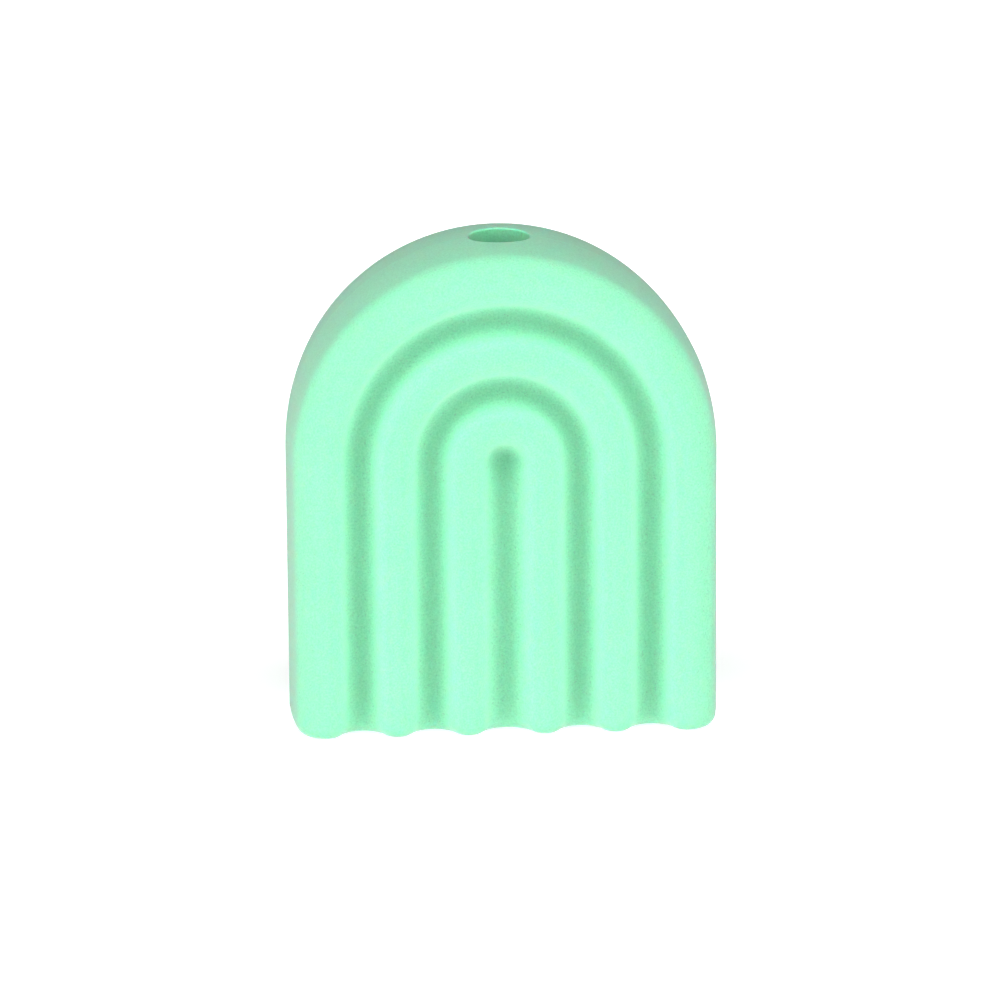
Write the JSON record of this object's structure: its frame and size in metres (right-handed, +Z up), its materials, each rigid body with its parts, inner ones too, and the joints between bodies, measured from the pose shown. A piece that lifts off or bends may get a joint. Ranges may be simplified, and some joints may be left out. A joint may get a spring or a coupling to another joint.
{
  "type": "rainbow arch teething bead",
  "caption": "Soft silicone bead shaped as a rainbow arch, with nested rounded ribs on both faces and a hole up the middle for a cord.",
  "frame": {"origin": "on the foot's flat face, under the middle of the bead, on the threading hole's axis", "axes": "+Z up the threading hole towards the top of the arch, +X across the legs, -Y out of the face that the picture shows"},
  "size_m": [0.02, 0.0086, 0.023],
  "materials": {
    "mint_silicone": "matte"
  },
  "bodies": {
    "root": {"silicone_bead": "mint_silicone"}
  },
  "joints": []
}
